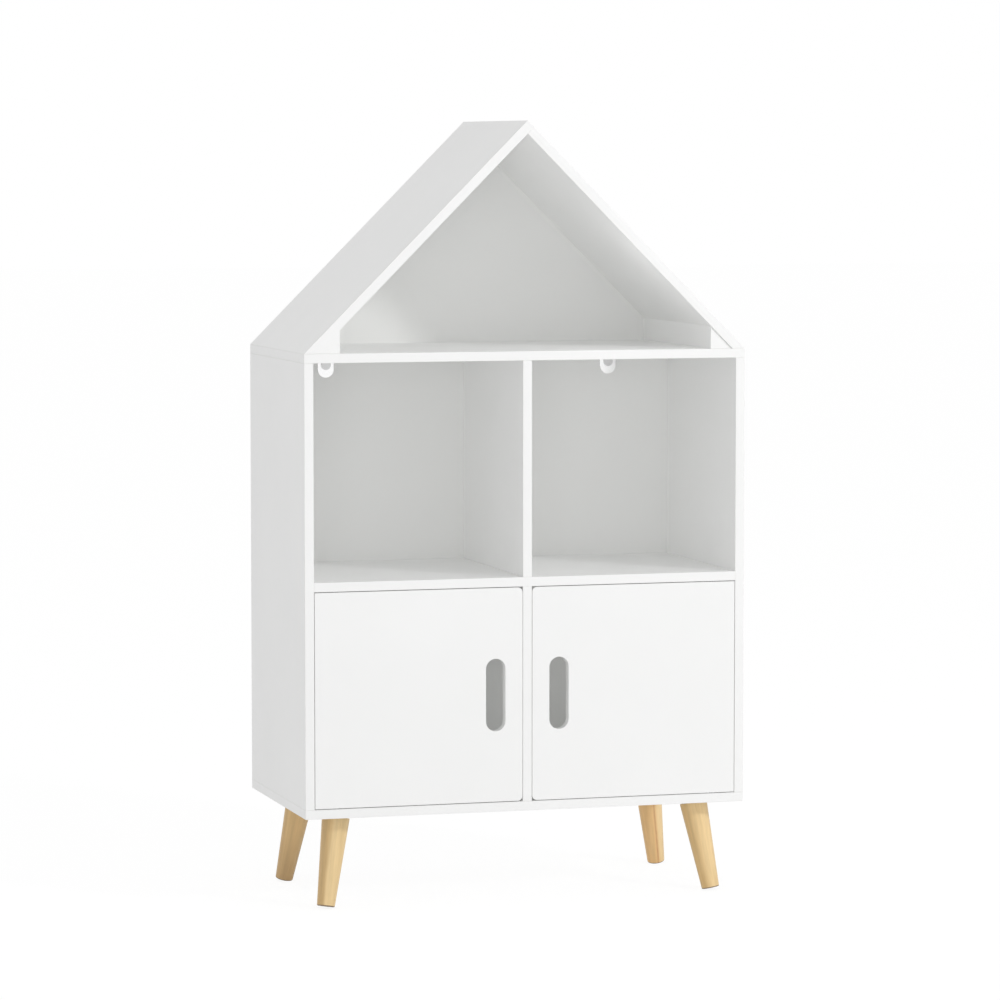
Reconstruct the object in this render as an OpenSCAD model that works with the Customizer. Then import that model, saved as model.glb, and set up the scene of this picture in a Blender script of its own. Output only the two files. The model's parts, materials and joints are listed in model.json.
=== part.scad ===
// House shaped bookcase for a child's room: two cupboards below, two open
// compartments above them, and an attic under a pitched roof, on four splayed legs.
// All sizes are in millimetres. The front faces -Y, +Z is up, and the origin is on
// the floor under the middle of the body.

/* [Body] */
// Outside width over the side panels
body_w = 590; // [540:1:660]
// Outside depth from the front edges to the rear edges
body_d = 300; // [270:1:360]
// Clear height of the two open compartments
open_h = 279; // [240:1:320]
// Clear height of the cupboards behind the doors
cupboard_h = 279; // [240:1:320]
// Thickness of the two side panels
side_t = 12; // [11:0.5:16]
// Thickness of the bottom board, the shelf and the attic floor
board_t = 12; // [11:0.5:16]
// Thickness of the two upright dividers
divider_t = 12; // [10:0.5:16]

/* [Roof] */
// Slope of the roof panels in degrees
roof_angle = 45; // [40:1:50]
// Thickness of the roof panels
roof_t = 12; // [10.5:0.5:16]
// Width of the foot of each corner block
block_w = 30; // [24:0.5:36]
// Width of the rebate along the sloping front edge of the right corner block
rebate_w = 2.1; // [0.5:0.1:4]
// Depth of that rebate from front to back
rebate_d = 3; // [1:0.5:8]

/* [Back panels] */
// Thickness of the two back panels
back_t = 3; // [2:0.5:5]
// Distance from the rear edges of the boards to the rear face of the back panels
back_inset = 17; // [8:0.5:24]
// Depth of the grooves that hold the back panels
groove_depth = 4; // [2:0.5:5]
// Play of the back panels in their grooves
groove_play = 0.2; // [0.1:0.05:0.4]

/* [Doors] */
// Thickness of the doors
door_t = 12; // [10:0.5:13]
// Gap above and below each door
door_gap = 1; // [0.8:0.1:2.5]
// Gap between each door and its side panel
door_side_gap = 0.8; // [0.8:0.1:2.5]
// Gap between each door and the divider
door_mid_gap = 0.6; // [0.5:0.1:2.5]
// Radius of the two corners on the free side of each door
door_corner_r = 6.5; // [2:0.5:20]
// Width of the finger slot
slot_w = 26; // [20:1:34]
// Height of the finger slot over its round ends
slot_h = 94; // [60:1:140]
// Distance from the free edge of the door to the middle of the finger slot
slot_inset = 36; // [25:1:60]

/* [Door pivots] */
// Distance from the hinge edge of the door to the pivot axis
pivot_inset = 28; // [26:0.5:36]
// Diameter of the pivot pins
pivot_pin_d = 5; // [4:0.5:6]
// Depth that each pivot pin is glued into the edge of the door
pivot_pin_hold = 18; // [10:1:30]
// Outside diameter of the barrel of the pivot bushes
bush_d = 8; // [7:0.5:9]
// Depth of the pivot bushes in the shelf and the bottom board
bush_depth = 8; // [5:0.5:9]
// Width of the flange of the pivot bushes around the barrel
bush_rim = 0.75; // [0.5:0.25:2]
// Radial running clearance of the pivot pins in their bushes
pivot_play = 0.05; // [0.02:0.01:0.1]

/* [Door catches] */
// Width of the magnetic catches
catch_w = 32; // [28:1:44]
// Depth of the magnetic catches from front to back
catch_d = 13; // [10:0.5:18]
// Height of the magnetic catches
catch_h = 12; // [11:0.5:16]
// Distance from the divider to the near end of each catch
catch_offset = 18; // [10:1:40]
// Width of the magnet in each catch
magnet_w = 16; // [12:0.5:18]
// Height of the magnet in each catch
magnet_h = 6; // [4:0.5:7]
// Depth of the magnet in each catch
magnet_d = 6; // [4:0.5:8]
// Width of the strike plate on each door
strike_w = 24; // [20:1:32]
// Height of the strike plate on each door
strike_h = 9; // [8:0.5:12]
// Thickness of the strike plates
strike_t = 1.2; // [0.8:0.1:2]
// Gap that the closed strike plate leaves to the magnet
catch_play = 0.1; // [0.05:0.05:0.3]

/* [Legs] */
// Length of the legs along their own axis
leg_len = 115; // [90:1:160]
// Diameter of the legs at the top
leg_top_d = 36; // [30:0.5:38]
// Diameter of the legs at the foot
leg_foot_d = 23; // [18:0.5:28]
// Chamfer around the foot of each leg
leg_chamfer = 1.2; // [0.5:0.1:2]
// Angle between each leg and the vertical, in degrees
leg_tilt = 13; // [5:0.5:16]
// Distance from each side of the body to the leg axis at the bottom board
leg_inset_x = 53; // [45:1:80]
// Distance from the front of the body to the axis of the front legs there
leg_inset_front = 50; // [45:1:70]
// Distance from the rear of the body to the axis of the rear legs there
leg_inset_back = 60; // [55:1:80]
// Side length of the square mounting plates
plate_size = 44; // [42:1:50]
// Radius of the corners of the mounting plates
plate_corner_r = 4; // [2:0.5:6]
// Thickness of the mounting plates
plate_t = 1.5; // [1:0.1:2.5]
// Diameter of the slanted seat on each mounting plate
seat_d = 28; // [24:0.5:30]
// Diameter of the bolts that hold the legs
leg_bolt_d = 8; // [6:0.5:10]
// Depth of the leg bolts in the legs
leg_bolt_hold = 32; // [20:1:50]

/* [Wall brackets] */
// Distance from each side of the body to the middle of its wall bracket
bracket_inset = 98; // [75:1:140]
// Width of the wall brackets
bracket_w = 22; // [20:0.5:28]
// Height of the upright leg of the wall brackets
bracket_h = 33; // [28:0.5:44]
// Length of the level leg of the wall brackets
bracket_reach = 24; // [22:0.5:34]
// Thickness of the wall brackets
bracket_t = 2; // [1.5:0.1:3]
// Diameter of the wall screw hole in each wall bracket
wall_hole_d = 5.5; // [4.5:0.1:6.5]
// Radial clearance of the wall screws in the main back panel, beyond that in the brackets
panel_hole_play = 0.5; // [0.1:0.1:1]
// Distance from the attic floor's underside down to the wall screw hole
wall_hole_drop = 16; // [13:0.5:20]
// Diameter of the washer in front of each wall screw hole
washer_d = 13.4; // [10:0.1:16]
// Thickness of the washers
washer_t = 1.2; // [0.8:0.1:2]

/* [Fasteners] */
// Diameter of the screws that hold the boards together
carcass_screw_d = 4; // [3.5:0.1:4.5]
// Length of the screws that hold the boards together
carcass_screw_len = 40; // [30:1:50]
// Distance from the front edge to the first carcass screw
carcass_screw_front = 45; // [30:1:60]
// Distance from the rear edge to the last carcass screw
carcass_screw_back = 45; // [35:1:60]
// Diameter of the small screws
small_screw_d = 3.5; // [3:0.1:4]
// Length of the screws under the attic floor that hold the corner blocks
block_screw_len = 26; // [22:1:30]
// Distance from the upright face of a corner block to its screws
block_screw_inset = 7; // [6:0.5:9]
// Length of the small screws in the leg plates and wall brackets
plate_screw_len = 9; // [7:0.5:10]
// Diameter of the screws in the catches and strike plates
fine_screw_d = 2.5; // [2:0.1:3]
// Length of the screws in the catches
catch_screw_len = 19; // [17:0.5:20]
// Length of the screws in the strike plates
strike_screw_len = 9; // [6:0.5:9]
// Diameter of the headless pins between the corner blocks and the roof panels
block_pin_d = 1.6; // [1:0.1:2]
// Length of those pins
block_pin_len = 18; // [15:0.5:20]
// Depth of those pins in the roof panels
block_pin_hold = 7; // [4:0.5:8]
// Diameter of the wooden dowels
dowel_d = 6; // [5:0.5:6]
// Depth of the dowels in the face of a board
dowel_face_hold = 8; // [5:0.5:9]
// Depth of the dowels in the edge of a board
dowel_edge_hold = 20; // [12:1:30]
// Distance from the front edge to the first dowel
dowel_front = 55; // [30:1:70]
// Distance from the front face of the back panels to the last dowel
dowel_back = 45; // [30:1:70]
// Radial clearance of screws, dowels and pins in their holes
hole_play = 0.05; // [0.02:0.01:0.1]

/* [Hidden] */
$fn = 64;

// Colours
white_paint = [0.94, 0.94, 0.93];
back_paint = [0.90, 0.91, 0.89];
pale_wood = [0.90, 0.76, 0.55];
dowel_wood = [0.85, 0.72, 0.53];
bright_steel = [0.70, 0.71, 0.73];
dark_magnet = [0.25, 0.25, 0.27];
white_plastic = [0.96, 0.96, 0.95];
grey_plastic = [0.62, 0.62, 0.63];
bright_plate = [0.92, 0.92, 0.93];

// Small overlap that lets a cut run clear of a face
cut = 1;

// Leg geometry along the axis, and the height of the bottom board that follows from it
leg_head_gap = 0.3;
leg_drop = (plate_t + leg_head_gap + leg_top_d / 2 * sin(leg_tilt)) / cos(leg_tilt);
foot_rise = (leg_foot_d / 2 - leg_chamfer) * sin(leg_tilt);
stand_h = (leg_drop + leg_len) * cos(leg_tilt) + foot_rise;
leg_bolt_stop = (leg_bolt_d / 2 * sin(leg_tilt) + leg_head_gap) / cos(leg_tilt);

// Levels, from the bottom board up to the ridge
bottom_z0 = stand_h;
bottom_z1 = bottom_z0 + board_t;
shelf_z0 = bottom_z1 + cupboard_h;
shelf_z1 = shelf_z0 + board_t;
mid_z0 = shelf_z1 + open_h;
mid_z1 = mid_z0 + board_t;

// Places across the width and the depth
half_w = body_w / 2;
inner_x = half_w - side_t;
side_mid_x = half_w - side_t / 2;
front_y = -body_d / 2;
rear_y = body_d / 2;
back_y1 = rear_y - back_inset;
back_y0 = back_y1 - back_t;
groove_w = back_t + groove_play;
inner_d = back_y0 - front_y;

// Roof outline above the attic floor
roof_rise = half_w * tan(roof_angle);
roof_foot_w = roof_t / sin(roof_angle);
roof_inner_x = half_w - roof_foot_w;
roof_inner_rise = roof_inner_x * tan(roof_angle);
block_face_x = roof_inner_x - block_w;
ridge_seam_x = roof_foot_w / 2;
ridge_seam_rise = (half_w - ridge_seam_x) * tan(roof_angle);

// Doors: the left door is built, and the right one is its mirror image
door_x0 = -inner_x + door_side_gap;
door_x1 = -divider_t / 2 - door_mid_gap;
door_z0 = bottom_z1 + door_gap;
door_z1 = shelf_z0 - door_gap;
door_w = door_x1 - door_x0;
door_h = door_z1 - door_z0;
door_back_y = front_y + door_t;
slot_x = door_x1 - slot_inset;
slot_z = (door_z0 + door_z1) / 2;
pivot_x = door_x0 + pivot_inset;
pivot_y = front_y + door_t / 2;
pivot_end_gap = 1;
flange_gap = 0.1;
flange_t = door_gap - flange_gap;

// Catches: the left one is built, and the right one is its mirror image
catch_x1 = -divider_t / 2 - catch_offset;
catch_x0 = catch_x1 - catch_w;
catch_mid_x = (catch_x0 + catch_x1) / 2;
strike_y1 = door_back_y + strike_t;
catch_y0 = strike_y1 + catch_play;
magnet_mid_z = shelf_z0 - catch_h / 2;
strike_drop = 0.5;
strike_mid_z = magnet_mid_z - strike_drop;
catch_screw_edge = 4;
catch_screw_dx = catch_w / 2 - catch_screw_edge;

// Rows of fasteners along the depth
carcass_screw_ys = [
    front_y + carcass_screw_front,
    (front_y + carcass_screw_front + rear_y - carcass_screw_back) / 2,
    rear_y - carcass_screw_back
];
divider_screw_ys = [carcass_screw_ys[0], back_y0 - carcass_screw_back];
dowel_ys = [front_y + dowel_front, back_y0 - dowel_back];
ridge_dowel_ys = [dowel_ys[0], (dowel_ys[0] + dowel_ys[1]) / 2, dowel_ys[1]];
block_pin_ys = [
    (carcass_screw_ys[0] + carcass_screw_ys[1]) / 2,
    (carcass_screw_ys[1] + carcass_screw_ys[2]) / 2
];
plate_screw_edge = 6;
plate_screw_dx = plate_size / 2 - plate_screw_edge;
bracket_x = half_w - bracket_inset;
bracket_screw_y = back_y0 - bracket_reach / 2 - bracket_t;

// A box given by its two extreme corners
module box(low, high) {
    translate(low) cube(high - low);
}

// Countersunk screw, head face at the origin, pointing up; grow opens it into its hole
module flat_screw(d, len, grow = 0) {
    head_d = 2 * d;
    cone_h = d / 2;
    rim_h = d / 8;
    clear_h = grow > 0 ? cut : 0;
    translate([0, 0, -clear_h]) cylinder(d = head_d + 2 * grow, h = rim_h + clear_h);
    translate([0, 0, rim_h])
        cylinder(d1 = head_d + 2 * grow, d2 = d + 2 * grow, h = cone_h);
    cylinder(d = d + 2 * grow, h = len + grow);
}

// Screw with a flat-topped round head below the origin, pointing up
module pan_screw(d, len) {
    head_d = 1.9 * d;
    head_h = 0.6 * d;
    translate([0, 0, -head_h]) cylinder(d = head_d, h = head_h);
    cylinder(d = d, h = len);
}

// Hole for the shank of a screw, starting just below the origin
module shank_hole(d, len) {
    translate([0, 0, -cut]) cylinder(d = d + 2 * hole_play, h = cut + len + hole_play);
}

// Upright plate in the XZ plane, from y0 to y0 + t, with its outline as the child
module upright(y0, t) {
    translate([0, y0 + t, 0]) rotate([90, 0, 0]) linear_extrude(t) children();
}

// Left and right copies of a left-hand piece
module both_sides() {
    children();
    mirror([1, 0, 0]) children();
}

// Places of the fasteners

module bottom_screw_places() {
    for (x = [-side_mid_x, side_mid_x], y = carcass_screw_ys)
        translate([x, y, bottom_z0]) children();
    for (y = divider_screw_ys)
        translate([0, y, bottom_z0]) children();
}

module mid_screw_places() {
    for (x = [-side_mid_x, side_mid_x], y = carcass_screw_ys)
        translate([x, y, mid_z1]) mirror([0, 0, 1]) children();
}

module block_screw_places() {
    for (side = [-1, 1], y = carcass_screw_ys)
        translate([side * (block_face_x + block_screw_inset), y, mid_z0]) children();
}

// Pins square to the slope, through the middle of the face between block and roof panel
module block_pin_places() {
    pin_in = block_w / 2;
    for (side = [-1, 1], y = block_pin_ys)
        translate([side * (roof_inner_x - pin_in), y, mid_z1 + pin_in * tan(roof_angle)])
            rotate([0, side * roof_angle, 0])
                translate([0, 0, block_pin_hold - block_pin_len]) children();
}

module shelf_dowel_places() {
    for (side = [-1, 1], y = dowel_ys)
        translate([side * (inner_x + dowel_face_hold), y, (shelf_z0 + shelf_z1) / 2])
            rotate([0, -side * 90, 0]) children();
}

// Long dowels pass through the shelf into both dividers
module shelf_divider_dowel_places() {
    for (y = dowel_ys)
        translate([0, y, shelf_z0 - dowel_edge_hold]) children();
}

module attic_divider_dowel_places() {
    for (y = dowel_ys)
        translate([0, y, mid_z0 - dowel_edge_hold]) children();
}

// Ridge dowels lie along the right slope, in the middle of the roof panel
module ridge_dowel_places() {
    for (y = ridge_dowel_ys)
        translate([ridge_seam_x / 2, y, mid_z1 + (ridge_seam_rise + roof_inner_rise) / 2])
            rotate([0, 90 + roof_angle, 0])
                translate([0, 0, -dowel_face_hold]) children();
}

module bush_places() {
    both_sides() {
        translate([pivot_x, pivot_y, bottom_z1]) children();
        translate([pivot_x, pivot_y, shelf_z0]) mirror([0, 0, 1]) children();
    }
}

module catch_screw_places() {
    both_sides()
        for (side = [-1, 1])
            translate([catch_mid_x + side * catch_screw_dx, catch_y0 + catch_d / 2,
                       shelf_z0 - catch_h])
                children();
}

module bracket_screw_places() {
    both_sides()
        translate([-bracket_x, bracket_screw_y, mid_z0 - bracket_t]) children();
}

// Level frame under the bottom board at a leg, with +X towards the splay
module leg_place(side_x, side_y) {
    leg_y = side_y < 0 ? front_y + leg_inset_front : rear_y - leg_inset_back;
    translate([side_x * (half_w - leg_inset_x), leg_y, bottom_z0])
        rotate([0, 0, atan2(side_y, side_x)]) children();
}

module all_leg_places() {
    for (side_x = [-1, 1], side_y = [-1, 1])
        leg_place(side_x, side_y) children();
}

module plate_screw_places() {
    all_leg_places()
        for (x = [-plate_screw_dx, plate_screw_dx], y = [-plate_screw_dx, plate_screw_dx])
            translate([x, y, -plate_t]) children();
}

module dowel(len, grow = 0) {
    translate([0, 0, -grow]) cylinder(d = dowel_d + 2 * grow, h = len + 2 * grow);
}

// Grooves

// Space of the main back panel, grown into the boards around it by reach
module main_back_space(reach, thick) {
    box([-inner_x - reach, back_y0, bottom_z1 - reach],
        [inner_x + reach, back_y0 + thick, mid_z0 + reach]);
}

// Outline of the attic back panel above the attic floor, grown by reach all round
module attic_outline(reach) {
    slant = reach / sin(roof_angle);
    foot_x = roof_inner_x + slant + reach / tan(roof_angle);
    top_z = roof_inner_rise + reach / cos(roof_angle);
    polygon([[-foot_x, -reach], [foot_x, -reach], [0, top_z]]);
}

module attic_back_space(reach, thick) {
    translate([0, 0, mid_z1]) upright(back_y0, thick) attic_outline(reach);
}

// Carcass

module side_blank() {
    difference() {
        box([-half_w, front_y, bottom_z1], [-inner_x, rear_y, mid_z0]);
        main_back_space(groove_depth, groove_w);
    }
}

// Side panel, 1 for the right one and -1 for the left one
module side_panel(side) {
    color(white_paint) difference() {
        mirror([side > 0 ? 1 : 0, 0, 0]) side_blank();
        bottom_screw_places() shank_hole(carcass_screw_d, carcass_screw_len);
        mid_screw_places() shank_hole(carcass_screw_d, carcass_screw_len);
        shelf_dowel_places() dowel(dowel_face_hold + dowel_edge_hold, hole_play);
    }
}

module left_side_panel() {
    side_panel(-1);
}

module right_side_panel() {
    side_panel(1);
}

module bottom_board() {
    color(white_paint) difference() {
        box([-half_w, front_y, bottom_z0], [half_w, rear_y, bottom_z1]);
        main_back_space(groove_depth, groove_w);
        bottom_screw_places() flat_screw(carcass_screw_d, carcass_screw_len, hole_play);
        plate_screw_places() shank_hole(small_screw_d, plate_screw_len);
        bush_places() bush_hole();
    }
}

module mid_board() {
    color(white_paint) difference() {
        box([-half_w, front_y, mid_z0], [half_w, rear_y, mid_z1]);
        main_back_space(groove_depth, groove_w);
        attic_back_space(groove_depth, groove_w);
        mid_screw_places() flat_screw(carcass_screw_d, carcass_screw_len, hole_play);
        block_screw_places() flat_screw(small_screw_d, block_screw_len, hole_play);
        bracket_screw_places() shank_hole(small_screw_d, plate_screw_len);
        attic_divider_dowel_places() dowel(dowel_face_hold + dowel_edge_hold, hole_play);
    }
}

module shelf() {
    color(white_paint) difference() {
        box([-inner_x, front_y, shelf_z0], [inner_x, back_y0, shelf_z1]);
        shelf_dowel_places() dowel(dowel_face_hold + dowel_edge_hold, hole_play);
        shelf_divider_dowel_places() dowel(2 * dowel_edge_hold + board_t, hole_play);
        catch_screw_places() shank_hole(fine_screw_d, catch_screw_len);
        bush_places() bush_hole();
    }
}

module divider_blank(z0, z1) {
    box([-divider_t / 2, front_y, z0], [divider_t / 2, back_y0, z1]);
}

module upper_divider() {
    color(white_paint) difference() {
        divider_blank(shelf_z1, mid_z0);
        shelf_divider_dowel_places() dowel(2 * dowel_edge_hold + board_t, hole_play);
        attic_divider_dowel_places() dowel(dowel_face_hold + dowel_edge_hold, hole_play);
    }
}

module lower_divider() {
    color(white_paint) difference() {
        divider_blank(bottom_z1, shelf_z0);
        shelf_divider_dowel_places() dowel(2 * dowel_edge_hold + board_t, hole_play);
        bottom_screw_places() shank_hole(carcass_screw_d, carcass_screw_len);
    }
}

module main_back_panel() {
    color(back_paint) difference() {
        main_back_space(groove_depth - groove_play, back_t);
        both_sides() wall_hole(panel_hole_play);
    }
}

// Roof

// The left panel runs up to the ridge, and the right one ends against its inner face
module left_roof_panel() {
    color(white_paint) difference() {
        translate([0, 0, mid_z1]) upright(front_y, body_d) polygon([
            [-half_w, 0],
            [-roof_inner_x, 0],
            [ridge_seam_x, ridge_seam_rise],
            [0, roof_rise]
        ]);
        attic_back_space(groove_depth, groove_w);
        ridge_dowel_places() dowel(dowel_face_hold + dowel_edge_hold, hole_play);
        block_pin_places() pin_hole();
    }
}

module right_roof_panel() {
    color(white_paint) difference() {
        translate([0, 0, mid_z1]) upright(front_y, body_d) polygon([
            [half_w, 0],
            [ridge_seam_x, ridge_seam_rise],
            [0, roof_inner_rise],
            [roof_inner_x, 0]
        ]);
        attic_back_space(groove_depth, groove_w);
        ridge_dowel_places() dowel(dowel_face_hold + dowel_edge_hold, hole_play);
        block_pin_places() pin_hole();
    }
}

// Bar of triangular section that fills the corner at the foot of a roof panel
module corner_block(side) {
    translate([0, 0, mid_z1]) upright(front_y, inner_d) polygon([
        [side * block_face_x, 0],
        [side * roof_inner_x, 0],
        [side * block_face_x, block_w * tan(roof_angle)]
    ]);
}

// Bar that cuts the rebate along the sloping front edge of the right corner block
module rebate_bar() {
    slope_len = block_w / cos(roof_angle);
    translate([roof_inner_x - block_w / 2, front_y, mid_z1 + block_w / 2 * tan(roof_angle)])
        rotate([0, roof_angle, 0])
            cube([slope_len + 4 * rebate_w, 2 * rebate_d, 2 * rebate_w], center = true);
}

module block_holes() {
    block_screw_places() shank_hole(small_screw_d, block_screw_len);
    block_pin_places() pin_hole();
}

module left_corner_block() {
    color(white_paint) difference() {
        corner_block(-1);
        block_holes();
    }
}

module right_corner_block() {
    color(white_paint) difference() {
        corner_block(1);
        block_holes();
        rebate_bar();
    }
}

module attic_back_panel() {
    color(back_paint) attic_back_space(groove_depth - groove_play, back_t);
}

// Doors

module door_outline() {
    difference() {
        union() {
            translate([door_x0, door_z0]) square([door_w - door_corner_r, door_h]);
            translate([door_x0, door_z0 + door_corner_r])
                square([door_w, door_h - 2 * door_corner_r]);
            for (z = [door_z0 + door_corner_r, door_z1 - door_corner_r])
                translate([door_x1 - door_corner_r, z]) circle(door_corner_r);
        }
        slot_outline();
    }
}

// Upright finger slot with full round ends
module slot_outline() {
    straight = slot_h - slot_w;
    translate([slot_x - slot_w / 2, slot_z - straight / 2]) square([slot_w, straight]);
    for (side = [-1, 1])
        translate([slot_x, slot_z + side * straight / 2]) circle(d = slot_w);
}

module door() {
    difference() {
        upright(front_y, door_t) door_outline();
        door_pins(hole_play);
        translate([catch_mid_x, strike_y1, strike_mid_z])
            rotate([90, 0, 0]) flat_screw(fine_screw_d, strike_screw_len, hole_play);
    }
}

module left_door() {
    color(white_paint) door();
}

module right_door() {
    color(white_paint) mirror([1, 0, 0]) door();
}

// Upper and lower pivot pin of the left door
module door_pins(grow = 0) {
    pin_len = pivot_pin_hold + door_gap + bush_depth - pivot_end_gap;
    translate([pivot_x, pivot_y, door_z0 + pivot_pin_hold + grow - pin_len])
        cylinder(d = pivot_pin_d + 2 * grow, h = pin_len);
    translate([pivot_x, pivot_y, door_z1 - pivot_pin_hold - grow])
        cylinder(d = pivot_pin_d + 2 * grow, h = pin_len);
}

module left_door_pins() {
    color(bright_steel) door_pins();
}

module right_door_pins() {
    color(bright_steel) mirror([1, 0, 0]) door_pins();
}

// Bush with its flange on the board face at the origin and its barrel below
module bush() {
    difference() {
        union() {
            cylinder(d = bush_d + 2 * bush_rim, h = flange_t);
            translate([0, 0, -bush_depth]) cylinder(d = bush_d, h = bush_depth);
        }
        translate([0, 0, -bush_depth - cut])
            cylinder(d = pivot_pin_d + 2 * pivot_play, h = bush_depth + flange_t + 2 * cut);
    }
}

module bush_hole() {
    translate([0, 0, -bush_depth - hole_play])
        cylinder(d = bush_d + 2 * hole_play, h = bush_depth + hole_play + cut);
}

module door_bushes() {
    color(grey_plastic) bush_places() bush();
}

// Door catches

module magnet_space(grow = 0) {
    box([catch_mid_x - magnet_w / 2 - grow, catch_y0 - (grow > 0 ? cut : 0),
         magnet_mid_z - magnet_h / 2 - grow],
        [catch_mid_x + magnet_w / 2 + grow, catch_y0 + magnet_d + grow,
         magnet_mid_z + magnet_h / 2 + grow]);
}

module catch_body() {
    difference() {
        box([catch_x0, catch_y0, shelf_z0 - catch_h], [catch_x1, catch_y0 + catch_d, shelf_z0]);
        magnet_space(hole_play);
        catch_screw_places() shank_hole(fine_screw_d, catch_screw_len);
    }
}

module left_catch() {
    color(white_plastic) catch_body();
}

module right_catch() {
    color(white_plastic) mirror([1, 0, 0]) catch_body();
}

module catch_magnets() {
    color(dark_magnet) both_sides() magnet_space();
}

module strike_plate() {
    difference() {
        box([catch_mid_x - strike_w / 2, door_back_y, strike_mid_z - strike_h / 2],
            [catch_mid_x + strike_w / 2, strike_y1, strike_mid_z + strike_h / 2]);
        translate([catch_mid_x, strike_y1, strike_mid_z])
            rotate([90, 0, 0]) flat_screw(fine_screw_d, strike_screw_len, hole_play);
    }
}

module strike_screw() {
    translate([catch_mid_x, strike_y1, strike_mid_z])
        rotate([90, 0, 0]) flat_screw(fine_screw_d, strike_screw_len);
}

module left_strike_plate() {
    color(bright_steel) strike_plate();
}

module right_strike_plate() {
    color(bright_steel) mirror([1, 0, 0]) strike_plate();
}

module left_strike_screw() {
    color(bright_steel) strike_screw();
}

module right_strike_screw() {
    color(bright_steel) mirror([1, 0, 0]) strike_screw();
}

// Legs

// Frame along the leg axis, with -Z towards the foot
module along_leg() {
    rotate([0, -leg_tilt, 0]) children();
}

module leg() {
    foot_z = -leg_drop - leg_len;
    along_leg() difference() {
        union() {
            translate([0, 0, foot_z])
                cylinder(d1 = leg_foot_d - 2 * leg_chamfer, d2 = leg_foot_d, h = leg_chamfer);
            translate([0, 0, foot_z + leg_chamfer])
                cylinder(d1 = leg_foot_d, d2 = leg_top_d, h = leg_len - leg_chamfer);
        }
        leg_bolt(hole_play);
    }
}

// Bolt from just under the bottom board down into the leg, on the leg axis
module leg_bolt(grow = 0) {
    translate([0, 0, -leg_drop - leg_bolt_hold - grow])
        cylinder(d = leg_bolt_d + 2 * grow,
                 h = leg_drop + leg_bolt_hold - leg_bolt_stop + 2 * grow);
}

// Flat plate under the bottom board with a slanted seat that the leg is bolted to
module leg_plate() {
    flat = plate_size / 2 - plate_corner_r;
    difference() {
        union() {
            translate([0, 0, -plate_t]) linear_extrude(plate_t) {
                square([plate_size, 2 * flat], center = true);
                square([2 * flat, plate_size], center = true);
                for (x = [-flat, flat], y = [-flat, flat])
                    translate([x, y]) circle(plate_corner_r);
            }
            intersection() {
                along_leg() translate([0, 0, -leg_drop]) cylinder(d = seat_d, h = 2 * leg_drop);
                translate([-plate_size / 2, -plate_size / 2, -plate_size - plate_t / 2])
                    cube(plate_size);
            }
        }
        along_leg() translate([0, 0, -leg_drop - cut])
            cylinder(d = leg_bolt_d + 2 * hole_play, h = 2 * leg_drop + 2 * cut);
        for (x = [-plate_screw_dx, plate_screw_dx], y = [-plate_screw_dx, plate_screw_dx])
            translate([x, y, -plate_t]) shank_hole(small_screw_d, plate_t + cut);
    }
}

module front_left_leg() {
    color(pale_wood) leg_place(-1, -1) leg();
}

module front_right_leg() {
    color(pale_wood) leg_place(1, -1) leg();
}

module back_left_leg() {
    color(pale_wood) leg_place(-1, 1) leg();
}

module back_right_leg() {
    color(pale_wood) leg_place(1, 1) leg();
}

module front_left_leg_plate() {
    color(bright_steel) leg_place(-1, -1) leg_plate();
}

module front_right_leg_plate() {
    color(bright_steel) leg_place(1, -1) leg_plate();
}

module back_left_leg_plate() {
    color(bright_steel) leg_place(-1, 1) leg_plate();
}

module back_right_leg_plate() {
    color(bright_steel) leg_place(1, 1) leg_plate();
}

module leg_bolts() {
    color(bright_steel) all_leg_places() along_leg() leg_bolt();
}

module leg_plate_screws() {
    color(bright_steel) plate_screw_places() pan_screw(small_screw_d, plate_screw_len);
}

// Wall brackets

// Hole for the wall screw of the left bracket, right through to the rear
module wall_hole(grow = 0) {
    translate([-bracket_x, back_y0 - bracket_t - washer_t - cut, mid_z0 - wall_hole_drop])
        rotate([-90, 0, 0])
            cylinder(d = wall_hole_d + 2 * grow, h = bracket_t + washer_t + back_t + 2 * cut);
}

// Angle with a level leg under the attic floor and a round-ended leg on the back panel
module wall_bracket() {
    difference() {
        union() {
            box([-bracket_x - bracket_w / 2, back_y0 - bracket_reach, mid_z0 - bracket_t],
                [-bracket_x + bracket_w / 2, back_y0, mid_z0]);
            upright(back_y0 - bracket_t, bracket_t) {
                translate([-bracket_x - bracket_w / 2, mid_z0 - bracket_h + bracket_w / 2])
                    square([bracket_w, bracket_h - bracket_w / 2]);
                translate([-bracket_x, mid_z0 - bracket_h + bracket_w / 2])
                    circle(d = bracket_w);
            }
        }
        wall_hole();
        bracket_screw_places() shank_hole(small_screw_d, plate_screw_len);
    }
}

module left_wall_bracket() {
    color(bright_plate) wall_bracket();
}

module right_wall_bracket() {
    color(bright_plate) mirror([1, 0, 0]) wall_bracket();
}

module washer() {
    difference() {
        translate([-bracket_x, back_y0 - bracket_t, mid_z0 - wall_hole_drop])
            rotate([90, 0, 0]) cylinder(d = washer_d, h = washer_t);
        wall_hole();
    }
}

module wall_bracket_washers() {
    color(bright_steel) both_sides() washer();
}

module wall_bracket_screws() {
    color(bright_steel) bracket_screw_places() pan_screw(small_screw_d, plate_screw_len);
}

// Screws, pins and dowels

module pin_hole() {
    translate([0, 0, -hole_play])
        cylinder(d = block_pin_d + 2 * hole_play, h = block_pin_len + 2 * hole_play);
}

module bottom_board_screws() {
    color(bright_steel) bottom_screw_places() flat_screw(carcass_screw_d, carcass_screw_len);
}

module mid_board_screws() {
    color(bright_steel) mid_screw_places() flat_screw(carcass_screw_d, carcass_screw_len);
}

module corner_block_screws() {
    color(bright_steel) block_screw_places() flat_screw(small_screw_d, block_screw_len);
}

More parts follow.
